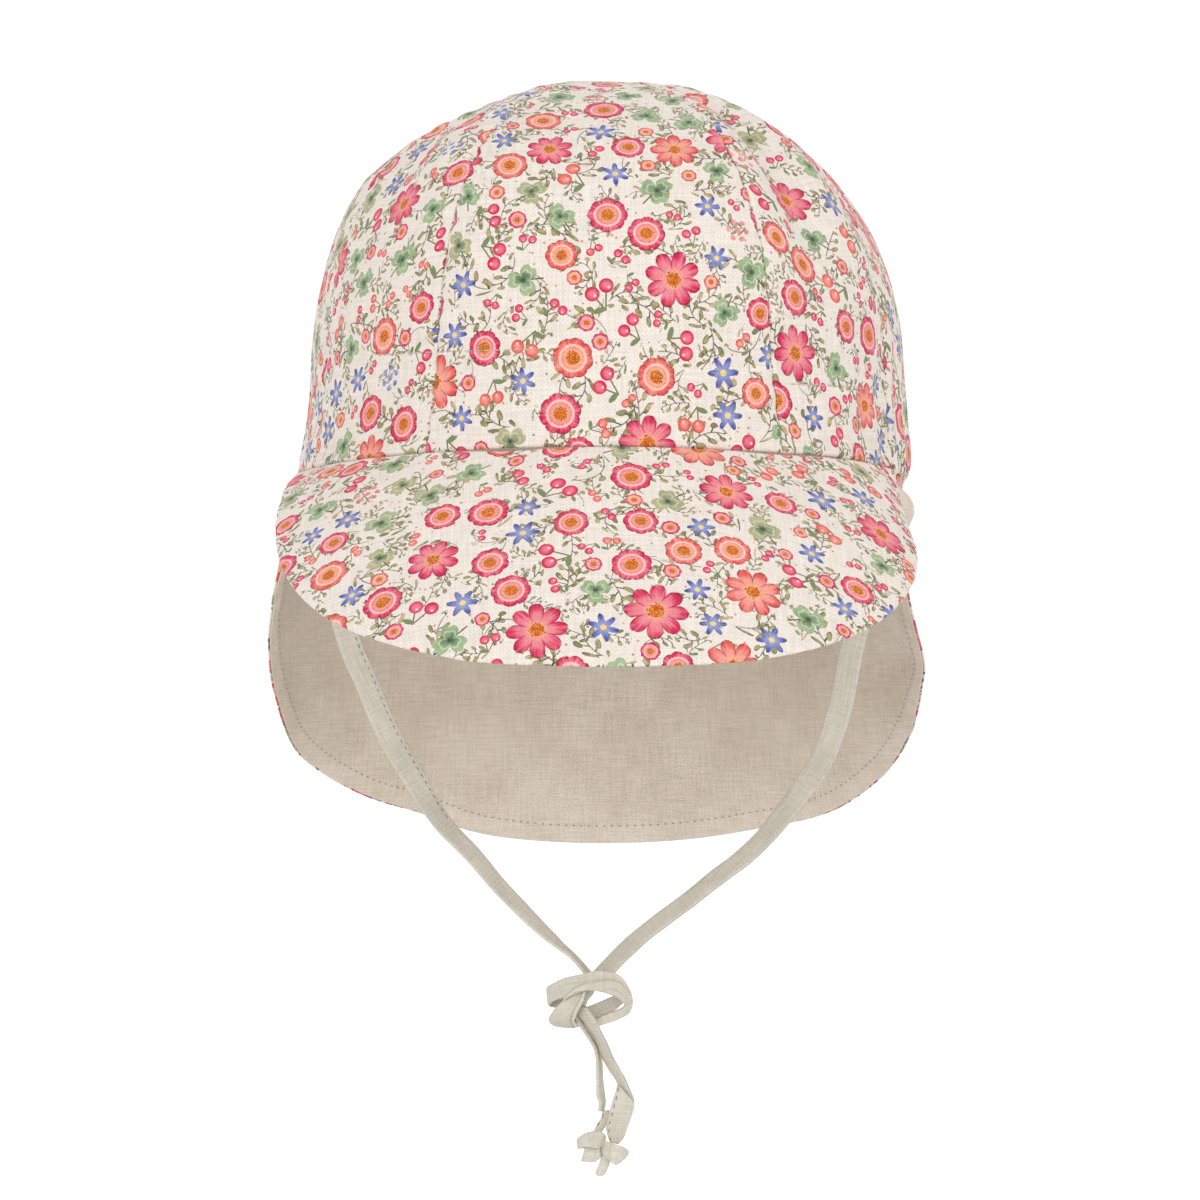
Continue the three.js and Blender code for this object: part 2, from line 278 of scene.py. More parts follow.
def flap_surface(angle, rise):
    drop = (1 - rise) * flap_length(angle)
    fall = drop / FLAP_LENGTH
    swung = 180 + (angle - 180) * (1 - FLAP_SWING * fall)
    right = np.maximum(np.sin(np.radians(angle)), 0)
    left = np.maximum(-np.sin(np.radians(angle)), 0)
    out = fall * bumps(angle, FLAP_FOLDS)
    for share, side in ((1 - right - left, "back"), (left, "left"), (right, "right")):
        flare, sooner = FLAP_FLARE[side]
        out = out + share * flare * fall * (1 + sooner * (1 - fall))
    return from_rim(swung, out, drop + rim_height(swung) - rim_height(angle))


def normals(surface, angle, rise):
    step = 0.02
    across = surface(angle + step, rise) - surface(angle - step, rise)
    up = surface(angle, rise + step / 100) - surface(angle, rise - step / 100)
    return unit(np.cross(across, up))


def waves(points, size, seed):
    """Soft uneven waves about this many millimetres long, from -1 to 1, the same at one place."""
    rng = np.random.default_rng(seed)
    total = 0
    for direction in rng.normal(size=(WAVE_COUNT, 3)):
        length = size * rng.uniform(*WAVE_LENGTHS)
        along = points @ (direction / np.linalg.norm(direction))
        total = total + np.sin(along * 2 * np.pi / length + rng.uniform(0, 2 * np.pi))
    return total / WAVE_HEIGHT


# Relief of the cloth, in millimetres outwards

def crease_depth(angle, rise):
    depth = 0
    for middle, low, high, width, deepest in CREASES:
        along = np.maximum(1 - ((rise - (low + high) / 2) / ((high - low) / 2)) ** 2, 0)
        depth = depth + deepest * along * bump(turn_from(angle, middle), width)
    return depth


def gather_depth(angle, rise):
    from_back = np.abs(angle % 360 - 180)
    share = 1 - smooth_step(from_back, 180 - GATHER_START - GATHER_SPACING, 180 - GATHER_START)
    fade = np.maximum(1 - rise / GATHER_REACH, 0) ** 1.5
    ripple = (1 + np.cos(2 * np.pi * from_back / GATHER_SPACING)) / 2
    return GATHER_DEPTH * share * fade * ripple


def tucked(tucks, angle, height):
    """How far the cloth is drawn in at the right ear."""
    depth = 0
    for middle, width, level, reach, deepest in tucks:
        depth = depth + deepest * bump(angle - middle, width) * bump(height - level, reach)
    return depth


def seam_angle(name, rise):
    start, bow = SEAMS[name]
    return start + bow * np.sin(np.pi * rise)


def soft(place, rows):
    """Rows of waves, added up."""
    return sum(height * waves(place, length, seed) for height, length, seed in rows)


def crown_relief(angle, rise, place, height):
    relief = -crease_depth(angle, rise) - gather_depth(angle, rise)
    radius = np.hypot(place[..., 0], place[..., 1])
    uneven = PUCKER["uneven"] * waves(place, *PUCKER_WAVES)
    pucker = np.sin(height * 2 * np.pi / PUCKER["spacing"] + uneven)
    for name in SEAMS:
        away = np.abs(np.radians(turn_from(angle, seam_angle(name, rise)))) * radius
        near = pucker * bump(away, PUCKER["reach"]) - bump(away, PUCKER["groove"])
        relief = relief + PUCKER["height"] * near
    return relief + soft(place, CROWN_WAVES) - tucked(CROWN_TUCKS, angle, place[..., 2])


def peak_relief(angle, rise, place, height):
    relief = soft(place, PEAK_WAVES) + bump(height, PEAK_EDGE_REACH) * soft(place, PEAK_EDGE_WAVES)
    return relief - tucked(PEAK_TUCKS, angle, place[..., 2])


def flap_relief(angle, rise, place, height):
    upright = place * (1, 1, FLAP_UPRIGHT)
    relief = soft(upright, FLAP_LONG_WAVES) + soft(place, FLAP_WAVES)
    return relief - tucked(FLAP_TUCKS, angle, place[..., 2])


# Meshes

def spaced(length, step=MESH_STEP):
    """Places from 0 to 1 along a length, closer together at both ends."""
    ends = [row for row in EDGE_ROWS if row < length / 4]
    count = max(int(round((length - 2 * ends[-1]) / step)), 2)
    middle = np.linspace(ends[-1], length - ends[-1], count + 1)
    places = ends[:-1] + middle.tolist() + [length - row for row in reversed(ends[:-1])]
    return np.array(places) / length


def make_mesh(name, points, faces, materials, slots=None):
    mesh = bpy.data.meshes.new(name)
    mesh.from_pydata(row_frame(points).tolist(), [], [tuple(face) for face in faces])
    for material in materials:
        mesh.materials.append(material)
    if slots is not None:
        mesh.polygons.foreach_set("material_index", np.asarray(slots, np.int32))
    mesh.polygons.foreach_set("use_smooth", np.ones(len(mesh.polygons), bool))
    mesh.update()
    return add_object(name, mesh)


def set_places(mesh, name, values, domain="POINT"):
    attribute = mesh.attributes.new(name, "FLOAT_VECTOR", domain)
    attribute.data.foreach_set("vector", np.asarray(values, np.float32).ravel())


def grid_faces(rows, columns):
    """Faces of a closed wall: its outer grid, then its inner grid, then its four edges."""
    index = np.arange(rows * columns).reshape(rows, columns)
    inner = index + rows * columns
    outside = [index[:-1, :-1], index[:-1, 1:], index[1:, 1:], index[1:, :-1]]
    inside = [inner[:-1, :-1], inner[1:, :-1], inner[1:, 1:], inner[:-1, 1:]]
    border = np.concatenate([index[0, :-1], index[:-1, -1], index[-1, :0:-1], index[:0:-1, 0]])
    after = np.roll(border, -1)
    edges = np.stack([border, border + rows * columns, after + rows * columns, after], axis=-1)
    outside = np.stack(outside, axis=-1).reshape(-1, 4)
    inside = np.stack(inside, axis=-1).reshape(-1, 4)
    return outside, inside, edges


def edge_rounding(flat, thickness):
    """How far each layer draws in towards the other near the wall's edges."""
    away = np.minimum(flat, EDGE_ROUNDING) / EDGE_ROUNDING
    return thickness / 2 * EDGE_FULLNESS * (1 - np.sqrt(np.maximum(1 - (1 - away) ** 2, 0)))


def steps_along(points, axis):
    """Length run along each row or column of a grid of points."""
    gaps = np.linalg.norm(np.diff(points, axis=axis), axis=-1)
    start = np.zeros_like(np.take(gaps, [0], axis=axis))
    return np.cumsum(np.concatenate([start, gaps], axis=axis), axis=axis)


def gore_pattern(points):
    """Flat places of a gore: how far across it from its middle, and how far up it."""
    across = steps_along(points, 1)
    return across - across[:, -1:] / 2, steps_along(points, 0)


def cone_pattern(points):
    """Flat places of the peak, unrolled as the cone that it nearly is."""
    share = math.cos(math.radians((PEAK_SLOPE_SEAM + PEAK_SLOPE_EDGE) / 2))
    turn = np.arctan2(points[..., 0], -points[..., 1]) * share
    reach = np.hypot(points[..., 0], points[..., 1]) / share
    return reach * np.sin(turn), -reach * np.cos(turn)


def hung_pattern(points):
    """Flat places of the flap, unrolled as the upright wall that it nearly is."""
    angles = np.linspace(0, 360, 721)
    rim = from_rim(angles, 0, 0)
    turns = np.unwrap(np.arctan2(rim[:, 0], -rim[:, 1]))
    around = np.arctan2(points[..., 0], -points[..., 1]) % (2 * np.pi)
    return np.interp(around, turns, steps_along(rim, 0)), points[..., 2]


def cloth_piece(name, shape, angle, rise, thickness, cloths, depth=0, turned=0):
    """A closed wall of cloth over a grid of angles and rises, with its flat places in mm. The
    outside's cloth is turned in round the edges by so many millimetres."""
    surface, relief, pattern = shape
    plain = surface(angle, rise)
    out = normals(surface, angle, rise)
    across = steps_along(plain, 1)
    up = steps_along(plain, 0)
    flat = np.minimum(
        np.minimum(across, across[:, -1:] - across),
        np.minimum(up, up[-1:, :] - up),
    )
    raised = relief(angle, rise, plain, up)
    drawn = edge_rounding(flat, thickness)
    outer = plain + out * (raised - depth - drawn)[..., None]
    inner = plain + out * (raised - depth - thickness + drawn)[..., None]
    rows, columns = angle.shape
    faces_out, faces_in, faces_edge = grid_faces(rows, columns)
    points = np.concatenate([outer.reshape(-1, 3), inner.reshape(-1, 3)])
    faces = np.concatenate([faces_out, faces_in, faces_edge])
    inside = flat.ravel()[faces_in - rows * columns].mean(1) > turned
    slots = [0] * len(faces_out) + inside.astype(int).tolist() + [0] * len(faces_edge)
    piece = make_mesh(name, points, faces, cloths, slots)
    cloth = np.stack([*pattern(plain), np.zeros_like(up)], axis=-1).reshape(-1, 3)
    cloth = np.concatenate([cloth, cloth])
    set_places(piece.data, "cloth", cloth)
    return piece, cloth[:, :2], faces


def on_cloth(shape, angle, rise, height, depth):
    """Places on the cloth and the way it faces there."""
    surface, relief, _ = shape
    plain = surface(angle, rise)
    out = normals(surface, angle, rise)
    raised = relief(angle, rise, plain, height) - depth
    return plain + out * np.broadcast_to(raised, angle.shape)[:, None], out


# The print: motifs scattered over each piece of cloth, biggest first

# Kinds of motif: the number by which the material knows each, its radius in millimetres and
# the share of the cloth that it covers at most
BLOOMS = (
    (0, 7.2, 0.09), (1, 4.8, 0.13), (2, 4.6, 0.09), (4, 5.4, 0.14), (3, 4.3, 0.09),
    (5, 4.6, 0.09), (2, 2.9, 0.11), (1, 2.3, 0.06),
)
SPRIGS = ((0, 5.4, 0.4), (0, 3.9, 0.45))
PRINT_LAYERS = ("bloom", "sprig", "twig")
# The least clear cloth between two motifs, and how many faces are handled at a time
MOTIF_GAP = 0.25
FACES_AT_ONCE = 4000
# How many places are tried for each motif, how its size varies, how far the print goes on past
# the cloth's edge, and the step from one layer's seed to the next one's
TRIES = 60
MOTIF_SIZES = (0.85, 1.1)
PRINT_MARGIN = 4
LAYER_SEEDS = 1000


def scatter(low, high, kinds, seed):
    """Rows of x, y, radius, turn and code for motifs that keep clear of each other."""
    rng = np.random.default_rng(seed)
    area = float(np.prod(high - low))
    placed = np.zeros((0, 5))
    for kind, radius, share in kinds:
        wanted = share * area / (np.pi * radius ** 2)
        tries = int(wanted * TRIES)
        spots = rng.uniform(low, high, size=(tries, 2))
        sizes = radius * rng.uniform(*MOTIF_SIZES, size=tries)
        turns = rng.uniform(0, 2 * np.pi, size=tries)
        codes = kind + rng.uniform(0.02, 0.98, size=tries)
        count = 0
        for spot, size, turn, code in zip(spots, sizes, turns, codes):
            apart = np.hypot(*(placed[:, :2] - spot).T) - placed[:, 2] - size
            if len(placed) == 0 or apart.min() > MOTIF_GAP:
                placed = np.vstack([placed, [*spot, size, turn, code]])
                count += 1
            if count >= wanted:
                break
    return placed


def lay_print(piece, flat, faces, name, kinds, seed):
    """Each face takes the nearest motif, and its corners get their places in that motif."""
    motifs = scatter(flat.min(0) - PRINT_MARGIN, flat.max(0) + PRINT_MARGIN, kinds, seed)
    corners = flat[faces]
    centres = corners.mean(1)
    nearest = np.zeros(len(faces), int)
    for start in range(0, len(faces), FACES_AT_ONCE):
        part = slice(start, start + FACES_AT_ONCE)
        gaps = centres[part, None, :] - motifs[None, :, :2]
        nearest[part] = (np.hypot(gaps[..., 0], gaps[..., 1]) - motifs[:, 2]).argmin(1)
    chosen = motifs[nearest]
    local = (corners - chosen[:, None, :2]) / chosen[:, None, 2:3]
    sine = np.sin(chosen[:, 3])[:, None]
    cosine = np.cos(chosen[:, 3])[:, None]
    x = local[..., 0] * cosine + local[..., 1] * sine
    y = local[..., 1] * cosine - local[..., 0] * sine
    code = np.repeat(chosen[:, 4:5], 4, axis=1)
    set_places(piece.data, name, np.stack([x, y, code], axis=-1).reshape(-1, 3), "CORNER")


def printed_piece(name, shape, angle, rise, thickness, cloths, seed, turned=0):
    piece, flat, faces = cloth_piece(name, shape, angle, rise, thickness, cloths, turned=turned)
    for layer, kinds in enumerate((BLOOMS, SPRIGS, SPRIGS)):
        lay_print(piece, flat, faces, PRINT_LAYERS[layer], kinds, seed + LAYER_SEEDS * layer)
    return piece


# Materials

# How much the cloth and the thread shine
SPECULAR = 0.25


def feed(tree, node, inputs):
    """Gives these inputs of a node their values, linked where other nodes work them out."""
    for place, value in inputs.items():
        if isinstance(value, Number):
            value = value.socket
        if isinstance(value, bpy.types.NodeSocket):
            tree.links.new(value, node.inputs[place])
        else:
            node.inputs[place].default_value = value


def operator(operation):
    """Arithmetic that adds a node of this operation."""
    return lambda value, *others: value.math(operation, *others)


class Number:
    """A value worked out by shader nodes. Arithmetic on it adds the nodes that do it."""

    __add__ = operator("ADD")
    __sub__ = operator("SUBTRACT")
    __mul__ = operator("MULTIPLY")
    __truediv__ = operator("DIVIDE")
    __pow__ = operator("POWER")
    __abs__ = operator("ABSOLUTE")

    def __init__(self, tree, socket):
        self.tree = tree
        self.socket = socket

    def __neg__(self):
        return self * -1

    def math(self, operation, *others):
        node = self.tree.nodes.new("ShaderNodeMath")
        node.operation = operation
        feed(self.tree, node, dict(enumerate((self, *others))))
        return Number(self.tree, node.outputs[0])

    def step(self, low, high):
        """0 below low and 1 above high, or the other way round where low is the higher."""
        node = self.tree.nodes.new("ShaderNodeMapRange")
        node.interpolation_type = "SMOOTHSTEP"
        feed(self.tree, node, {0: self, 1: low, 2: high})
        return Number(self.tree, node.outputs[0])


def screen_colour(rgb):
    """A colour given as it looks on a screen, from 0 to 255."""
    values = [c / 255 for c in rgb]
    return (*[v / 12.92 if v <= 0.04045 else ((v + 0.055) / 1.055) ** 2.4 for v in values], 1)


class Paint:
    """A new material and the nodes that its colours are mixed from."""

    def __init__(self, name):
        self.material = bpy.data.materials.new(name)
        self.material.use_nodes = True
        self.tree = self.material.node_tree
        self.shader = self.tree.nodes["Principled BSDF"]

    def node(self, kind, inputs):
        made = self.tree.nodes.new("ShaderNode" + kind)
        feed(self.tree, made, inputs)
        return made

    def place(self, name):
        """The three parts of a place that the mesh carries."""
        attribute = self.node("Attribute", {})
        attribute.attribute_name = name
        split = self.node("SeparateXYZ", {0: attribute.outputs["Vector"]})
        return [Number(self.tree, socket) for socket in split.outputs]

    def vector(self, parts):
        return self.node("CombineXYZ", dict(enumerate(parts))).outputs[0]

    def noise(self, parts, scale, detail=1):
        inputs = {"Vector": self.vector(parts), "Scale": scale, "Detail": detail}
        return Number(self.tree, self.node("TexNoise", inputs).outputs[0])

    def cells(self, parts, scale):
        inputs = {"Vector": self.vector(parts), "Scale": scale}
        return Number(self.tree, self.node("TexVoronoi", inputs).outputs["Distance"])

    def mix(self, share, first, second):
        node = self.tree.nodes.new("ShaderNodeMix")
        node.data_type = "RGBA"
        first, second = [screen_colour(colour) if isinstance(colour, tuple) else colour
                         for colour in (first, second)]
        feed(self.tree, node, {0: share, 6: first, 7: second})
        return node.outputs[2]

    def cover(self, colour, *layers):
        """The colour with layers over it: the share and the colour of each, lowest first."""
        for share, above in layers:
            colour = self.mix(share, colour, above)
        return colour

    def tint(self, colour, shade):
        node = self.tree.nodes.new("ShaderNodeVectorMath")
        node.operation = "SCALE"
        feed(self.tree, node, {0: colour, "Scale": shade})
        return node.outputs[0]

    def finish(self, colour, height, distance, roughness, sheen):
        relief = self.node("Bump", {"Distance": distance, "Strength": 1, "Height": height})
        feed(self.tree, self.shader, {
            "Base Color": colour, "Normal": relief.outputs[0], "Roughness": roughness,
            "Sheen Weight": sheen, "Specular IOR Level": SPECULAR,
        })
        return self.material


# Plain weave: the spacing of the print's threads and of plain cloth's in millimetres, and how
# far threads wander
THREAD = 0.56
FINE_THREAD = 0.42
THREAD_WANDER = 0.35


def weave(paint, thread=THREAD):
    """Height of a plain weave, about 0 to 1, and a shade about 1 that scales its colour: lighter and
    darker along uneven threads, and painted shade in the hollows between crossings.
    """
    u, v, _ = paint.place("cloth")
    warp_wander = paint.noise((u * 0.5, v * 0.06, 3), 1) * THREAD_WANDER
    weft_wander = paint.noise((u * 0.06, v * 0.5, 7), 1) * THREAD_WANDER
    along = (u / thread + warp_wander) * math.pi
    across = (v / thread + weft_wander) * math.pi
    over = along.math("SINE") * across.math("SINE")
    hollow = abs(along.math("COSINE")) * abs(across.math("COSINE"))
    height = over * 0.25 + hollow * -0.3 + 0.5
    slubs = paint.noise((u * 1.8, v * 0.12, 11), 1, 2) + paint.noise((u * 0.12, v * 1.8, 17), 1, 2)
    # Painted shade: the colour is darker where the weave is low, in the hollows between crossing
    # threads, on top of the uneven threads' tone.
    shade = (slubs - 1) * 0.34 + (height - 0.5) * 0.32 + 1
    return height + slubs * 0.3, shade, u, v


# The colour is scaled by the weave's shade, which holds painted shade in the weave's hollows as well as
# the tone of uneven threads.
def finish_cloth(paint, colour, height, shade, distance):
    roughness = height * 0.1 + 0.82
    return paint.finish(paint.tint(colour, shade), height, distance, roughness, 0.12)


# Painters of the motifs. Each works out one motif from the place in it, the seed that sets it
# apart from others of its kind and the wash of its colours, and gives the layers that cover the
# ground: the share and the colour of each, lowest first.

PETALS = 8


def polar(x, y):
    """The angle of a place from the motif's +X, and how far it is from the middle."""
    return y.math("ARCTAN2", x), (x * x + y * y) ** 0.5


def coral_or(paint, seed, above, deep, pale):
    """The deep and the pale shade of a motif, coral where its seed is above this."""
    coral = seed.math("GREATER_THAN", above)
    return paint.mix(coral, *deep), paint.mix(coral, *pale)


def paint_flower(paint, x, y, kind, seed, wash):
    """Daisies of eight petals, kind 0, and scalloped rosettes with a pale ring, kind 1."""
    angle, far = polar(x, y)
    rosette = kind.math("COMPARE", 1, 0.5)
    lobe = abs((angle * (PETALS / 2)).math("COSINE"))
    frill = paint.noise((x, y, seed * 50), 5, 2) * 0.16 - 0.08
    depth = rosette * -0.3 + 0.42
    edge = frill * 0.5 - depth * (-(lobe ** 0.5) + 1) + 0.97
    streak = paint.noise((angle * 9, far * 1.6, seed * 30), 1, 2)
    deep, pale = coral_or(paint, seed, 0.7, ((214, 34, 84), (228, 84, 80)),
                          ((243, 142, 154), (249, 164, 150)))
    rim = (far / edge).step(0.35, 1.02) * 0.7 + (streak - 0.5) * 1.1 + (wash - 0.5) * 1.1
    between = lobe.step(0.17, 0.03) * far.step(0.22, 0.4) * (rosette * -0.7 + 1)
    line = (edge - far).step(0.09, 0.03) * streak.step(0.4, 0.55)
    ring = abs(far - 0.6).step(0.08, 0.03) * rosette
    heart = rosette * 0.09 + 0.23 + frill * 0.5
    grain = paint.noise((x, y, seed * 9), 13, 1)
    colour = paint.cover(
        pale,
        (rim.step(0.05, 0.85), deep),
        (between * 0.7, (150, 28, 60)),
        (line * 0.85, (104, 20, 42)),
        (ring * 0.8, (252, 214, 200)),
        (far.step(heart + 0.22, heart) * 0.55, (252, 190, 130)),
        (far.step(heart + 0.02, heart - 0.03),
         paint.mix(grain.step(0.47, 0.56), (206, 84, 26), (244, 166, 64))),
        (far.step(heart + 0.09, heart + 0.03) * grain.step(0.6, 0.66), (96, 40, 24)),
    )
    return ((far.step(edge + 0.02, edge - 0.03), colour),)


def paint_berries(paint, x, y, kind, seed, wash):
    """Pairs of round berries on a forked stalk with a leaf, kind 2."""
    left = ((x + 0.4) ** 2 + (y + 0.3) ** 2) ** 0.5
    right = ((x - 0.42) ** 2 + (y + 0.12) ** 2) ** 0.5
    stalk_left = abs(x + 0.4 - (y + 0.3) * 0.375).step(0.055, 0.03)
    stalk_right = abs(x - 0.42 + (y + 0.12) * 0.363).step(0.055, 0.03)
    stalk = stalk_left.math("MAXIMUM", stalk_right) * y.step(-0.1, 0) * y.step(0.95, 0.9)
    leaf = (((x - 0.36) / 0.36) ** 2 + ((y - 0.8) / 0.15) ** 2).step(1.1, 0.9)
    berry = left.math("MINIMUM", right)
    deep, pale = coral_or(paint, seed, 0.7, ((208, 30, 76), (226, 88, 80)),
                          ((244, 128, 146), (249, 160, 146)))
    shine_left = ((x + 0.5) ** 2 + (y + 0.18) ** 2) ** 0.5
    shine_right = ((x - 0.32) ** 2 + y ** 2) ** 0.5
    shine = shine_left.math("MINIMUM", shine_right).step(0.1, 0.05)
    flesh = paint.cover(pale, ((berry * 2.4 + (wash - 0.5)).step(0.1, 1), deep),
                        (shine * 0.8, (253, 222, 214)))
    return (stalk, (120, 118, 78)), (leaf, (128, 142, 98)), (berry.step(0.4, 0.36), flesh)


def paint_star(paint, x, y, kind, seed, wash):
    """Blue star flowers of six points with a yellow heart, kind 3."""
    angle, far = polar(x, y)
    point = abs((angle * 3).math("COSINE"))
    frill = paint.noise((x, y, seed * 40), 5, 2) * 0.16 - 0.08
    edge = point * point * 0.5 + frill + 0.38
    fleck = paint.noise((angle * 7, far * 2, seed * 23), 1, 2)
    blue = paint.cover((160, 170, 218), ((fleck * 1.2 + far - 0.6).step(0, 1), (70, 78, 148)),
                       (far.step(0.2, 0.14), (250, 214, 130)))
    return ((far.step(edge + 0.03, edge - 0.03), blue),)


def paint_clover(paint, x, y, kind, seed, wash):
    """Soft green clovers of three heart-shaped leaves on a stalk, kind 4."""
    angle, far = polar(y, x)
    lobe = abs((angle * 1.5).math("COSINE"))
    edge = lobe ** 0.6 * 0.66 - lobe ** 24 * 0.14 + 0.18
    shade = (wash * 1.4 - 0.4) + (-far + 0.55) * 0.9
    green = paint.cover(
        (168, 190, 146),
        (seed.step(0.5, 0.8), (190, 184, 142)),
        (shade.step(0.1, 1), (96, 124, 92)),
        (abs(far - edge * 0.62).step(0.07, 0.02) * 0.5, (226, 232, 200)),
        (far.step(0.2, 0.02) * 0.8, (58, 62, 44)),
    )
    stalk = abs(x + y * 0.12).step(0.05, 0.02) * y.step(0.02, 0) * y.step(-1, -0.95)
    return (stalk, (96, 96, 62)), (far.step(edge + 0.02, edge - 0.03), green)


def paint_dots(paint, x, y, kind, seed, wash):
    """Rings of six round dots about a seventh, blue or coral, kind 5."""
    angle, far = polar(x, y)
    around = (((far - 0.6) / 0.17) ** 2 + ((angle * 3).math("SINE") * 1.2) ** 2).step(1.1, 0.85)
    deep, pale = coral_or(paint, seed, 0.6, ((96, 106, 176), (226, 104, 96)),
                          ((176, 184, 228), (250, 186, 172)))
    colour = paint.mix((wash * 1.8 - 0.4).step(0, 1), deep, pale)
    return ((around.math("MAXIMUM", far.step(0.21, 0.16)), colour),)


def paint_sprig(paint, name):
    """Thin curved stalks with small round berries on both sides, some of them missing."""
    x, y, code = paint.place(name)
    bent = y - (x * x - 0.35) * (code * 1.6 - 0.8)
    aside = abs(bent)
    side = bent.math("SIGN")
    slanted = (x - aside * 0.75) * 1.75 + code * 3 + side * 0.22
    chance = paint.noise((slanted.math("FLOOR") * 0.73 + side * 5.1, code * 37, 3), 1, 0)
    room = (-(x * x) + 1).math("MAXIMUM", 0) ** 0.5 * 0.56
    share = aside / (room * (chance * 0.7 + 0.6) + 0.001)
    across = slanted.math("FRACT") - 0.5
    middle = (across / 0.3) ** 2 + ((share - 0.7) / 0.3) ** 2
    stem = abs(across).step(0.1, 0.04) * share.step(0.7, 0.6)
    berry = middle.step(1.1, 0.85).math("MAXIMUM", stem) * chance.step(0.37, 0.39)
    stalk = aside.step(0.045, 0.015) * abs(x).step(0.9, 0.8)
    wash = paint.noise((x, y, code * 40), 3, 2)
    olive = paint.cover(
        (176, 166, 118),
        (code.step(0.4, 0.6), (198, 180, 138)),
        (wash.step(0.45, 0.62), (134, 134, 92)),
        (middle.step(0.5, 0.9) * wash.step(0.36, 0.5) * 0.9, (70, 60, 40)),
        (share.step(0.42, 0.05) * 0.75, (84, 80, 56)),
    )
    return berry.math("MAXIMUM", stalk * 0.75), olive


# Each painter, with the middle of its kinds and how far they are from it at most
PAINTERS = (
    (paint_flower, 0.5, 1), (paint_berries, 2, 0.5), (paint_star, 3, 0.5),
    (paint_clover, 4, 0.5), (paint_dots, 5, 0.5),
)


def print_material():
    paint = Paint("print_cloth")
    height, shade, u, v = weave(paint)
    ground = paint.mix(paint.noise((u, v, 5), 0.05, 2), (238, 227, 216), (243, 233, 223))
    choice = paint.noise((u, v, 40), 0.4, 1)
    speck = paint.mix(choice.step(0.48, 0.52), (122, 112, 76), (222, 112, 110))
    colour = paint.cover(
        ground,
        (paint.cells((u, v, 2), 0.4).step(0.16, 0.1) * 0.8, speck),
        paint_sprig(paint, "twig"),
        paint_sprig(paint, "sprig"),
    )
    x, y, code = paint.place("bloom")
    kind = code.math("FLOOR")
    seed = code.math("FRACT")
    wash = paint.noise((x, y, code * 20), 1.7, 3)
    for painter, middle, reach in PAINTERS:
        wanted = kind.math("COMPARE", middle, reach)
        for share, above in painter(paint, x, y, kind, seed, wash):
            colour = paint.mix(share * wanted, colour, above)
    return finish_cloth(paint, colour, height, shade, 0.00016)


def plain_cloth(name, light, dark):
    paint = Paint(name)
    height, shade, u, v = weave(paint, FINE_THREAD)
    blotch = paint.noise((u, v, 5), 0.07, 3)
    colour = paint.mix(blotch.step(0.3, 0.7), light, dark)
    return finish_cloth(paint, colour, height, shade, 0.00014)


def thread_material(name, rgb):
    paint = Paint(name)
    u, v, _ = paint.place("cloth")
    twist = ((u * 2.2 + v * 3) * math.pi).math("SINE") * 0.5 + 0.5
    colour = paint.mix(twist * 0.3, rgb, tuple(c * 0.8 for c in rgb))
    return paint.finish(colour, twist, 0.00005, twist * 0.1 + 0.7, 0.2)


# Stitches

# Rows of stitches: each stitch's length, how far apart they start, its width and how far it
# stands out of the cloth
STITCHES = {
    "tie": (1.2, 2, 0.2, 0),
    "seam": (0.7, 2, 0.3, 0.03),
    "hem": (0.7, 2.1, 0.2, 0),
    "band": (2.5, 2.5, 0.3, 0.02),
}
STITCH_SIDES = 6
STITCH_FLATNESS = 0.75
# Shape of a stitch: shares of its length, with its thickness and its height at each
STITCH_PLACES = (0, 0.12, 0.35, 0.65, 0.88, 1)
STITCH_SIZES = (0.25, 0.75, 1, 1, 0.75, 0.25)
STITCH_HEIGHTS = (-0.22, -0.04, 0.06, 0.06, -0.04, -0.22)


def stitches(name, line, out, material, parent, kind):
    """A row of thread stitches laid along a line on the cloth."""
    run = steps_along(line, 0)
    stitch, pitch, width, lift = STITCHES[kind]
    count = int(run[-1] / pitch)
    rings = np.array(STITCH_PLACES)
    along = ((np.arange(count) + 0.5) * run[-1] / count)[:, None] + (rings - 0.5) * stitch
    middle, away = [
        np.stack([np.interp(along, run, values[:, i]) for i in range(3)], axis=-1)
        for values in (line, out)
    ]
    away = unit(away)
    aside = unit(np.cross(away, unit(middle[:, -1:] - middle[:, :1])))
    centres = middle + away * (np.array(STITCH_HEIGHTS) + lift)[:, None]
    around = np.arange(STITCH_SIDES) * 2 * np.pi / STITCH_SIDES
    spokes = (np.cos(around)[:, None] * aside[:, :, None]
              + np.sin(around)[:, None] * away[:, :, None] * STITCH_FLATNESS)
    points = centres[:, :, None] + spokes * (np.array(STITCH_SIZES) * width / 2)[:, None, None]
    index = np.arange(points[..., 0].size).reshape(points.shape[:3])
    after = np.roll(index, -1, axis=2)
    sides = np.stack([index[:, :-1], after[:, :-1], after[:, 1:], index[:, 1:]], axis=-1)
    faces = sides.reshape(-1, 4).tolist() + index[:, 0, ::-1].tolist() + index[:, -1].tolist()
    row = make_mesh(name, points.reshape(-1, 3), faces, [material])
    places = np.stack(np.broadcast_arrays(along[..., None], around, 0.0), axis=-1)
    set_places(row.data, "cloth", places.reshape(-1, 3))
    row.parent = parent


# Ties

TAPE_SIDES = 24
TAPE_STEP = 0.5
TAPE_THICKNESS = 1
# How square a tape's cross-section is at its edges and on its faces, from 1 for round to 0
TAPE_SIDE_POWER = 0.45
TAPE_FACE_POWER = 0.6
# How far the tape of ties, of knots and of the ear's corner waves in and out, and the length of
# these waves with the seed of their draws
TAPE_CRUMPLE = 0.07
KNOT_CRUMPLE = 0.25
CORNER_CRUMPLE = 0.35
TAPE_WAVES = (7, 21)
TOWARDS_FRONT = (0, -1, 0)

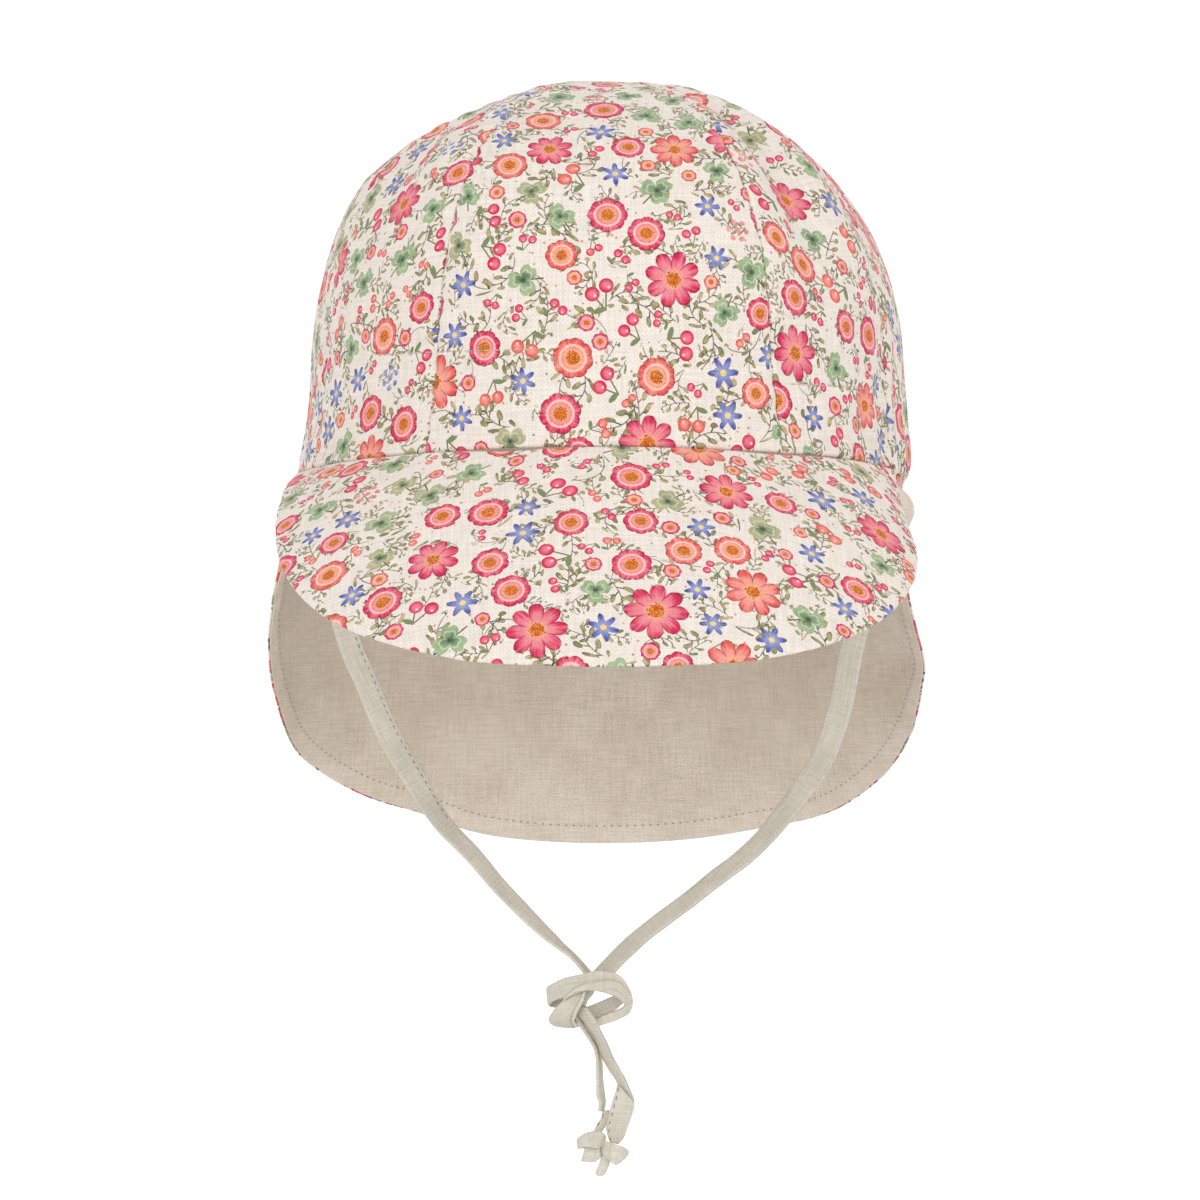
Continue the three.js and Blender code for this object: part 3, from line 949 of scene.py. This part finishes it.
# Routes of the ties, as in the solids, and on through the bow: x, y, z and how many degrees the
# tape is turned out of the photo's plane. A turn below 0 takes its right edge backwards.
TIE_LEFT = (
    (-71.5, -9, -10, 0), (-68.5, -10, -30, 0), (-64.4, -11, -46.5, 0), (-59.5, -12, -58, -4),
    (-54.9, -12, -69, -8), (-49.2, -12, -79, -14), (-41.2, -12, -92, -42),
    (-33.2, -12, -100.5, -50), (-26.9, -12, -108, -54), (-18.2, -12, -117, -60),
    (-12.4, -11.6, -122.4, -72), (-8, -10.8, -126.2, -82), (-4.3, -10.4, -130.4, -80),
    (-2.6, -10.6, -133.4, -74),
)
TIE_RIGHT = (
    (71.5, -9, -10, 0), (67.5, -10, -30, 0), (62.9, -11, -47, 0), (59.3, -12, -64.4, 4),
    (54.5, -12, -77.3, 14), (46.2, -12, -89.2, 34), (37.4, -12, -99.3, 46),
    (26.8, -12, -107.6, 50), (21.5, -12, -111.9, 52), (11.1, -12, -119.7, 52),
    (5, -12, -125, 50), (0.8, -12, -129.4, 50), (-2.4, -12.2, -133, 50),
)
# How far down the ties are stitched, how far the stitches lie in from a tie's edge, and how far
# out they lie on a tail's end, as a share of half of its width
STITCHED_TO = -93
TIE_SEAM = 1.1
TAIL_SEAM = 0.72

# Tapes of the bow and of the tails. Each row is a place on one edge of the tape, and then the
# place across from it. The loop is folded along its length into a wide leaf behind a narrow one.
LOOP_BACK_LEAF = (
    (-8.6, -10.2, -134.3, -8.8, -10.2, -139.8), (-12.4, -10.8, -134.3, -11.8, -10.8, -139.4),
    (-14.2, -12.9, -133.9, -13.8, -12.9, -138.6), (-12.6, -15, -132.7, -11.8, -15.2, -136.9),
    (-9.9, -15.6, -131.4, -8.8, -15.8, -136.2), (-6.1, -15.7, -130.5, -5.3, -15.8, -134.8),
    (-1.9, -15.4, -129.6, -1.5, -15.6, -133.9), (1.4, -14.6, -129.9, 1.4, -14.8, -133.1),
    (4.3, -13.2, -131.2, 3.5, -13.6, -133.9), (6.1, -12, -133.9, 5.2, -12.4, -136.9),
    (6.9, -10.8, -136.4, 5.6, -11, -138.5), (4.9, -9.8, -135.6, 4.9, -10, -138.1),
    (2.2, -9.4, -136.5, 3.1, -9.6, -139.8), (-0.9, -9.4, -137.8, 0.2, -9.6, -141.5),
    (-4, -9.8, -139, -2.1, -10, -142.8), (-6.1, -10.6, -139.4, -5.1, -10.8, -143.2),
)
LOOP_FRONT_LEAF = (
    (-10.3, -16.2, -136.7, -10, -16.2, -137), (-7.8, -16.6, -134.4, -7.3, -16.7, -135),
    (-5.1, -16.7, -132.9, -4.4, -16.9, -134.5), (-1.9, -16.5, -132.2, -1.7, -16.8, -134.7),
    (1.8, -15.8, -131.9, 0.8, -16.4, -135.3), (4.1, -14.6, -132.8, 2.9, -15.6, -136.2),
    (5.9, -13.4, -134.9, 4.7, -14.6, -137.8), (7.2, -12.2, -137.2, 5.2, -13, -138.1),
    (6.5, -11.6, -140.4, 4.7, -12.2, -139.1), (3.5, -11.4, -142.3, 2.2, -12, -140.2),
    (0.6, -11.6, -143.2, -0.3, -12.2, -141.1), (-1.3, -12, -143.7, -1.9, -12.4, -141.9),
    (-3.5, -12.4, -144, -4, -12.6, -142.4),
)
WRAP = (
    (-7.4, -13.6, -133.9, -4.4, -13.6, -133.9), (-8.8, -14.4, -136, -4.9, -14.4, -134.8),
    (-10.3, -15, -137.1, -5.5, -15, -136.5), (-12.2, -15.4, -138.9, -6.4, -15.4, -138.1),
    (-13.4, -15.2, -140.6, -7.6, -15.4, -140), (-14, -14.6, -142, -8.2, -15, -141.3),
    (-13.2, -12.8, -143.2, -7.8, -13.4, -143.6), (-12, -11.2, -143.3, -7, -11.6, -143.8),
    (-10.3, -10.6, -141.4, -6.1, -10.6, -141.4),
)
WRAP_EDGE = (
    (-5.3, -15.3, -134.6, -4.5, -15.1, -134.6), (-6.1, -15.8, -136.9, -5.3, -15.6, -137.3),
    (-7.2, -16.1, -139, -6.4, -15.9, -139.4), (-8, -16, -141.1, -7.2, -15.8, -141.2),
    (-8.2, -15.6, -142.1, -7.5, -15.4, -142.3), (-7.8, -14.6, -143.4, -6.4, -14.4, -143.7),
)
WRAP_END = (
    (-4.6, -12.6, -133.5, -1.8, -12.6, -133.8), (-4.8, -12.8, -135.6, -2.8, -12.8, -135.8),
    (-5.3, -13, -137.2, -4, -13, -137.3), (-5.8, -13.2, -138.8, -4.6, -13.2, -139),
)
TAIL_LEFT = (
    (-9, -12.4, -138.4, -8.2, -9.8, -138.6), (-7.3, -12.8, -141.4, -6.6, -9, -141.6),
    (-5.9, -13.2, -143.8, -5, -8.4, -144), (-4, -13.2, -146.6, -3, -8, -146.9),
    (-2.3, -13, -149.6, -1.4, -7.6, -150), (-1.7, -13, -153.3, -0.7, -7.6, -153.4),
    (-1.6, -13, -157.6, -0.5, -7.6, -157.8), (-1.7, -13, -161.2, 0, -7.8, -161.4),
    (-1.1, -13, -163, 0.2, -8, -163.4), (-1.2, -13, -165.2, -0.2, -8.6, -165.6),
)
TAIL_LEFT_END = (
    (-0.4, -11.6, -165.6, 1.3, -11.8, -165), (-0.7, -12.2, -166.8, 1.7, -12.4, -167),
    (-1.8, -12.6, -168.5, 0.6, -12.8, -168.8), (-2.6, -13, -170.2, -0.5, -13, -170.3),
    (-3, -13, -171.6, -1, -13, -171.6),
)
TAIL_RIGHT = (
    (-6.1, -12.4, -138.4, -4.4, -15.6, -138.9), (-6.6, -12.2, -140.6, -3.2, -15.8, -140.4),
    (-5, -11.8, -142.8, -1.9, -15.8, -142.4), (-3.4, -11.4, -145.2, -0.7, -15.8, -145.2),
    (-1.9, -11.2, -148, 0.7, -15.8, -147.8), (-0.7, -11, -151.3, 2, -15.8, -151),
    (1.3, -11, -154.8, 3.9, -15.6, -154.6), (2.8, -11.4, -156.9, 5.1, -15.2, -156.6),
    (3.6, -12, -158.8, 6.2, -14.4, -159.2), (4.6, -12.6, -160.6, 7.3, -13.6, -161.6),
    (6, -13, -162.2, 7.7, -13.2, -162.9),
)
TAIL_RIGHT_END = (
    (3.3, -14, -158.6, 4.4, -14, -159.4), (2.8, -14.4, -160.4, 6.9, -14.6, -162),
    (1.9, -14.8, -163, 7.7, -14.8, -163.7), (1.1, -14.8, -166.1, 6.9, -14.8, -166.5),
    (0.5, -14.6, -168.7, 5.8, -14.6, -169.5), (0.8, -14.2, -171, 5, -14.2, -171.7),
    (1.5, -13.8, -172.9, 3.7, -13.8, -173.3),
)

# Tapes of the overhand knots: the turn round each tail, its lobes and its cut end
KNOT_LEFT_TURN = (
    (-3.9, -12, -171.7, -3.9, -12, -174.7), (-5.7, -12.8, -171.9, -5.6, -12.9, -174.6),
    (-6.4, -14.3, -171.8, -6, -14.4, -174.5), (-5.2, -15.5, -170.6, -4.8, -15.7, -173.9),
    (-3.5, -16.1, -170, -3.1, -16.3, -174.1), (-1.8, -16, -169.7, -1.5, -16.2, -174.3),
    (-0.4, -15.1, -170.4, -1.1, -15.4, -174.1), (0.2, -13.4, -171.2, -0.2, -13.6, -173.6),
)
KNOT_LEFT_CUT = (
    (-4.5, -14.4, -173.2, -1.2, -14.4, -173.4), (-5.1, -14.8, -175, -1, -14.9, -175.2),
    (-5.5, -15, -176.4, -0.9, -15.1, -176.6), (-5.9, -15, -177.6, -2.2, -15.1, -177.7),
)
KNOT_RIGHT_TURN = (
    (-1.2, -13.6, -172.4, -1.2, -13.8, -176.8), (0.4, -14.8, -172.5, 0.4, -15, -176.9),
    (1.9, -15.4, -173, 1.9, -15.6, -177.2), (2.8, -14.8, -173.4, 2.6, -15, -176.6),
)
KNOT_RIGHT_LOBE = (
    (1.3, -15, -173, 0.9, -15.2, -177.1), (2.6, -15.9, -173.2, 2, -16.1, -177.9),
    (4.1, -16, -173.5, 3.2, -16.2, -178.4), (5.6, -15.2, -174.4, 4.8, -15.4, -177.1),
    (6.1, -14, -175, 5.9, -14.2, -175.9), (5.2, -12.6, -175, 5, -12.8, -176.2),
)
KNOT_RIGHT_CUT = (
    (-0.6, -14.2, -176.2, 1.7, -14.4, -177.2), (-1.3, -14.6, -178.4, 1.1, -14.8, -179),
    (-2.2, -14.6, -180.4, 0.4, -14.8, -180.6), (-1.9, -14.6, -181.2, -0.4, -14.8, -181.3),
)


# Gathered corner of the flap at the right ear, where its lining shows
EAR_CORNER = (
    (71.8, -24, -7.6, 73.8, -21, -8), (72.6, -25, -9, 75.4, -21, -9.6),
    (73, -25.6, -11, 77, -20.6, -12), (73.4, -26, -13.4, 77.6, -20.6, -14.6),
    (73.8, -26, -16, 76.6, -21, -17.2), (74.2, -25, -18.6, 75.8, -22, -19.6),
)


def curve_through(rows, step):
    """Smooth rows through the given ones, by Catmull and Rom, as in the solids."""
    rows = np.array(rows, float)
    ends = np.concatenate([[2 * rows[0] - rows[1]], rows, [2 * rows[-1] - rows[-2]]])
    curve = []
    for k in range(len(rows) - 1):
        a, b, c, d = ends[k:k + 4]
        count = max(int(np.linalg.norm((c - b)[:3]) / step), 3)
        for t in np.arange(count) / count:
            curve.append(0.5 * (2 * b + (c - a) * t + (2 * a - 5 * b + 4 * c - d) * t ** 2
                                + (3 * b - a - 3 * c + d) * t ** 3))
    curve.append(rows[-1])
    return np.array(curve)


def both_edges(route):
    """Rows of both edges of a tie along its route."""
    route = np.array(route, float)
    places = route[:, :3]
    turn = np.radians(route[:, 3:])
    ahead = unit(np.gradient(places, axis=0))
    across = unit(np.cross(ahead, TOWARDS_FRONT))
    half = (across * np.cos(turn) + np.cross(ahead, across) * np.sin(turn)) * TIE_WIDTH / 2
    return np.concatenate([places + half, places - half], axis=1)


def tape_lines(rows):
    """The middle of a tape, half of its width as a vector, and the way its front faces."""
    both = curve_through(rows, TAPE_STEP)
    line = (both[:, :3] + both[:, 3:]) / 2
    half = (both[:, :3] - both[:, 3:]) / 2
    ahead = unit(np.gradient(line, axis=0))
    return line, half, unit(np.cross(half, ahead))


def tape_piece(name, tapes, material, crumple=TAPE_CRUMPLE):
    """One piece of several lengths of tape, each a closed body."""
    all_points = []
    all_faces = []
    all_places = []
    for rows in tapes:
        line, half, out = tape_lines(rows)
        around = (np.arange(TAPE_SIDES) + 0.5) * 2 * np.pi / TAPE_SIDES
        side = np.sign(np.cos(around)) * np.abs(np.cos(around)) ** TAPE_SIDE_POWER
        face = np.sign(np.sin(around)) * np.abs(np.sin(around)) ** TAPE_FACE_POWER
        points = line[:, None] + half[:, None] * side[None, :, None]
        points = points + out[:, None] * (face * TAPE_THICKNESS / 2)[None, :, None]
        points = points + out[:, None] * (crumple * waves(points, *TAPE_WAVES))[..., None]
        index = np.arange(len(line) * TAPE_SIDES).reshape(len(line), TAPE_SIDES)
        index = index + sum(len(part) for part in all_points)
        after = np.roll(index, -1, axis=1)
        quads = np.stack([index[:-1], index[1:], after[1:], after[:-1]], axis=-1)
        all_faces += quads.reshape(-1, 4).tolist()
        all_faces += [index[0].tolist(), index[-1][::-1].tolist()]
        width = np.linalg.norm(half, axis=1)[:, None]
        girth = np.where(np.sin(around) > 0, side * width, 2 * width - side * width)
        run = steps_along(line, 0)[:, None]
        places = np.stack(np.broadcast_arrays(girth, run, 0.0), axis=-1)
        all_points.append(points.reshape(-1, 3))
        all_places.append(places.reshape(-1, 3))
    piece = make_mesh(name, np.concatenate(all_points), all_faces, [material])
    set_places(piece.data, "cloth", np.concatenate(all_places))
    return piece


def own(piece, node):
    """The piece is the looks of this solid."""
    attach(piece, "root")
    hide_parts(node)


def make_ties(tape, thread):
    bow = {
        "bow_loop": (LOOP_BACK_LEAF, LOOP_FRONT_LEAF),
        "bow_wrap": (WRAP, WRAP_EDGE, WRAP_END),
        "tail_knot_left": (KNOT_LEFT_TURN, KNOT_LEFT_CUT),
        "tail_knot_right": (KNOT_RIGHT_TURN, KNOT_RIGHT_LOBE, KNOT_RIGHT_CUT),
    }
    pieces = {}
    for name, tapes in bow.items():
        crumple = KNOT_CRUMPLE if "knot" in name else TAPE_CRUMPLE
        pieces[name] = tape_piece(name + "_tape", tapes, tape, crumple)
        own(pieces[name], name)
    for name, route in (("tie_left", TIE_LEFT), ("tie_right", TIE_RIGHT)):
        rows = both_edges(route)
        piece = tape_piece(name + "_tape", (rows,), tape)
        own(piece, name)
        line, half, out = tape_lines(rows)
        face = TAPE_THICKNESS / 2 if name == "tie_left" else -TAPE_THICKNESS / 2
        seam = line - unit(half) * (TIE_WIDTH / 2 - TIE_SEAM) + out * face
        sewn = line[:, 2] > STITCHED_TO
        stitches(name + "_stitches", seam[sewn], out[sewn] * np.sign(face), thread, piece, "tie")
    for name, tail, end in (("tie_tail_left", TAIL_LEFT, TAIL_LEFT_END),
                            ("tie_tail_right", TAIL_RIGHT, TAIL_RIGHT_END)):
        piece = tape_piece(name + "_tape", (tail, end), tape)
        own(piece, name)
        line = np.concatenate([tape_lines(tail)[0], tape_lines(end)[0]])
        end_line, half, out = tape_lines(end)
        seam = end_line + half * TAIL_SEAM + out * TAPE_THICKNESS / 2
        stitches(name + "_stitches", seam, out, thread, piece, "tie")


# How far below the cloth's face the stitches of the crown's seams lie
SEAM_DEPTH = 0.5
# Rows of the stitching that holds the band inside the crown, where it shows: the gore, the angles
# where each starts and ends, and its height
BAND_STITCHES = (
    ("crown_front_left", -47, -33, 23),
    ("crown_front", -32, -13, 23),
    ("crown_front_right", 36, 63, 15.5),
)
# How many places a gore is measured at from rim to top and along the rim, and its seam along the
# stitches. The share of the rise where those stitches start and end.
GORE_PLACES = 400
RIM_PLACES = 60
SEAM_PLACES = 200
SEAM_STITCHED = (0.02, 0.96)


def gore_grid(name):
    start, end = GORES[name]
    lap = 360 if SEAMS[start][0] > SEAMS[end][0] else 0
    first = SEAMS[start][0] - lap
    last = SEAMS[end][0]
    top_turn = math.acos((TIP_RADIUS / CROWN_HALF_WIDTH) ** (DOME_POWER / 2))
    top = WALL_SHARE + (1 - WALL_SHARE) * top_turn / (math.pi / 2)
    rises = np.linspace(0, top, GORE_PLACES)
    meridian = steps_along(plain_crown(np.full(GORE_PLACES, (first + last) / 2), rises), 0)
    up = np.interp(spaced(meridian[-1]) * meridian[-1], meridian, rises)
    rim = plain_crown(np.linspace(first, last, RIM_PLACES), np.zeros(RIM_PLACES))
    across, rise = np.meshgrid(spaced(steps_along(rim, 0)[-1]), up)
    low = seam_angle(start, rise) - lap
    high = seam_angle(end, rise)
    return low + (high - low) * across, rise


# Each shape's surface, the relief of its cloth and the pattern that it is cut to
CROWN = (plain_crown, crown_relief, gore_pattern)
PEAK = (peak_surface, peak_relief, cone_pattern)
FLAP = (flap_surface, flap_relief, hung_pattern)


def make_crown(cloths, threads):
    for seed, name in enumerate(GORES):
        angle, rise = gore_grid(name)
        piece = printed_piece(name + "_cloth", CROWN, angle, rise, CROWN_THICKNESS, cloths,
                              seed + 11)
        own(piece, name)
        seam_rise = np.linspace(*SEAM_STITCHED, SEAM_PLACES)
        start = seam_angle(GORES[name][0], seam_rise)
        height = steps_along(plain_crown(start, seam_rise), 0)
        line, out = on_cloth(CROWN, start, seam_rise, height, SEAM_DEPTH)
        stitches(name + "_seam_stitches", line, out, threads["dark"], piece, "seam")
        for gore, first, last, height in BAND_STITCHES:
            if gore == name:
                around = np.linspace(first, last, RIM_PLACES)
                rim = rim_height(around)
                band_rise = WALL_SHARE * (height - rim) / (WALL_HEIGHT - rim / 2)
                line, out = on_cloth(CROWN, around, band_rise, WALL_HEIGHT, 0)
                stitches(name + "_band_stitches", line, out, threads["cream"], piece, "band")


def crescent_grid(surface, middle, half, length):
    """A grid for a piece that hangs from the rim and tapers towards both of its ends."""
    angles = np.linspace(middle - half, middle + half, EDGE_PLACES)
    rim = steps_along(surface(angles, np.ones(EDGE_PLACES)), 0)
    at = np.interp(spaced(rim[-1]) * rim[-1], rim, angles)
    return np.meshgrid(at, spaced(length))


def make_peak(cloths):
    angle, rise = crescent_grid(peak_surface, 0, PEAK_SPREAD * PEAK_CUT, PEAK_LENGTH)
    away = rise * peak_length(angle)
    padding = (PEAK_THICKNESS - PEAK_EDGE_THICKNESS) * smooth_step(away, 0, PEAK_PADDED_FROM)
    piece = printed_piece("peak_cloth", PEAK, angle, rise, PEAK_EDGE_THICKNESS + padding,
                          cloths, 31, HEM_TURNED)
    own(piece, "peak")


def hem_seam(angle):
    """Angles and rises of the seam that runs inside the flap's hem, by offset of the hem."""
    rim = steps_along(flap_surface(angle, np.ones_like(angle)), 0)
    drop = flap_length(angle)
    run = unit(np.stack([np.gradient(rim), np.gradient(drop)], axis=-1))
    along = rim + run[:, 1] * HEM_SEAM
    down = drop - run[:, 0] * HEM_SEAM
    kept = (along > 0) & (along < rim[-1]) & (down > 1)
    turned = np.interp(along[kept], rim, angle)
    return turned, 1 - down[kept] / flap_length(turned)


def hem_thickness(away):
    """Each layer of the flap is pressed thinner towards the hem."""
    return HEM_THICKNESS + (LAYER_THICKNESS - HEM_THICKNESS) * smooth_step(away, 0, HEM_SEAM)


def make_flap(cloths, thread):
    half = (180 - FLAP_START) * FLAP_CUT
    angle, rise = crescent_grid(flap_surface, 180, half, FLAP_LENGTH)
    layer = hem_thickness(rise * flap_length(angle))
    outer = printed_piece("neck_flap_cloth", FLAP, angle, rise, layer, cloths, 41, HEM_TURNED)
    aside = smooth_step(np.abs(angle - 180), *HEM_INSET["between"])
    inset = (HEM_INSET["back"] + (HEM_INSET["sides"] - HEM_INSET["back"]) * aside) / FLAP_LENGTH
    raised = inset + rise * (1 - inset)
    away = raised * flap_length(angle)
    layer = hem_thickness(away)
    depth = layer + LAYER_GAP * smooth_step(away, *LAYER_GAP_OPENS)
    inner, _, _ = cloth_piece("flap_lining_cloth", FLAP, angle, raised, layer,
                              (cloths[1], cloths[1]), depth)
    seam_angles, seam_rises = hem_seam(np.linspace(180 - half, 180 + half, HEM_PLACES))
    behind = 2 * LAYER_THICKNESS + LAYER_GAP
    line, out = on_cloth(FLAP, seam_angles, seam_rises, 0, behind)
    stitches("hem_stitches", line, -out, thread, inner, "hem")
    corner = tape_piece("ear_corner_cloth", (EAR_CORNER,), cloths[1], CORNER_CRUMPLE)
    corner.parent = inner
    for piece, node, slot in ((outer, "neck_flap", "print_cloth"),
                              (inner, "flap_lining", "lining_cloth")):
        own(piece, node)


# Floor: half of its width and its height in metres. Area lights: place in metres, size in metres
# and power in watts. What shines evenly, the floor and the air, has one strength for the light
# that it gives and one for how the camera sees it as the plain backdrop.
FLOOR_HALF = 12
FLOOR_HEIGHT = -0.34
FLOOR_GLOW = (0.1, 0.5)
AIR_GLOW = (0.84, 1.05)
WHITE = (1, 1, 1, 1)
LIGHTS = {
    "key": ((-0.75, -1.6, 0.15), 0.9, 5.5),
    "fill": ((1.3, -1.3, 0.5), 0.9, 5),
}
LIT_PLACE = (0, 0, -0.12)


def lit_or_seen(tree, lit, seen):
    """A level with one value for the light that reaches the hat and one for the camera."""
    ray = tree.nodes.new("ShaderNodeLightPath")
    level = tree.nodes.new("ShaderNodeMapRange")
    feed(tree, level, {0: ray.outputs["Is Camera Ray"], "To Min": lit, "To Max": seen})
    return level.outputs[0]


def make_floor():
    mesh = bpy.data.meshes.new("floor")
    corners = ((-1, -1), (1, -1), (1, 1), (-1, 1))
    mesh.from_pydata([(x * FLOOR_HALF, y * FLOOR_HALF, FLOOR_HEIGHT) for x, y in corners], [],
                     [(0, 1, 2, 3)])
    paint = Paint("floor")
    feed(paint.tree, paint.shader, {
        "Base Color": (0.8, 0.8, 0.8, 1), "Roughness": 0.9, "Emission Color": WHITE,
        "Emission Strength": lit_or_seen(paint.tree, *FLOOR_GLOW),
    })
    mesh.materials.append(paint.material)
    add_object("floor", mesh)


def area_light(name, place, size, power):
    light = bpy.data.lights.new(name, "AREA")
    light.shape = "DISK"
    light.size = size
    light.energy = power
    lamp = add_object(name, light)
    lamp.location = place
    towards = Vector(LIT_PLACE) - Vector(place)
    lamp.rotation_euler = towards.to_track_quat("-Z", "Y").to_euler()


def make_light():
    world = bpy.data.worlds.new("studio")
    bpy.context.scene.world = world
    world.use_nodes = True
    tree = world.node_tree
    feed(tree, tree.nodes["Background"], {0: WHITE, 1: lit_or_seen(tree, *AIR_GLOW)})
    for name, light in LIGHTS.items():
        area_light(name, *light)
    bpy.context.scene.view_settings.view_transform = "Standard"


make_camera()
tape_cloth = plain_cloth("tie_tape", (225, 219, 205), (216, 210, 195))
lining_cloth = plain_cloth("lining_cloth", (234, 221, 206), (225, 211, 195))
print_cloth = print_material()
dark_thread = thread_material("dark_thread", (112, 104, 90))
soft_thread = thread_material("soft_thread", (160, 151, 133))
cream_thread = thread_material("cream_thread", (240, 228, 214))
make_ties(tape_cloth, soft_thread)
make_crown((print_cloth, lining_cloth), {"dark": dark_thread, "cream": cream_thread})
make_peak((print_cloth, lining_cloth))
make_flap((print_cloth, lining_cloth), soft_thread)
make_floor()
make_light()
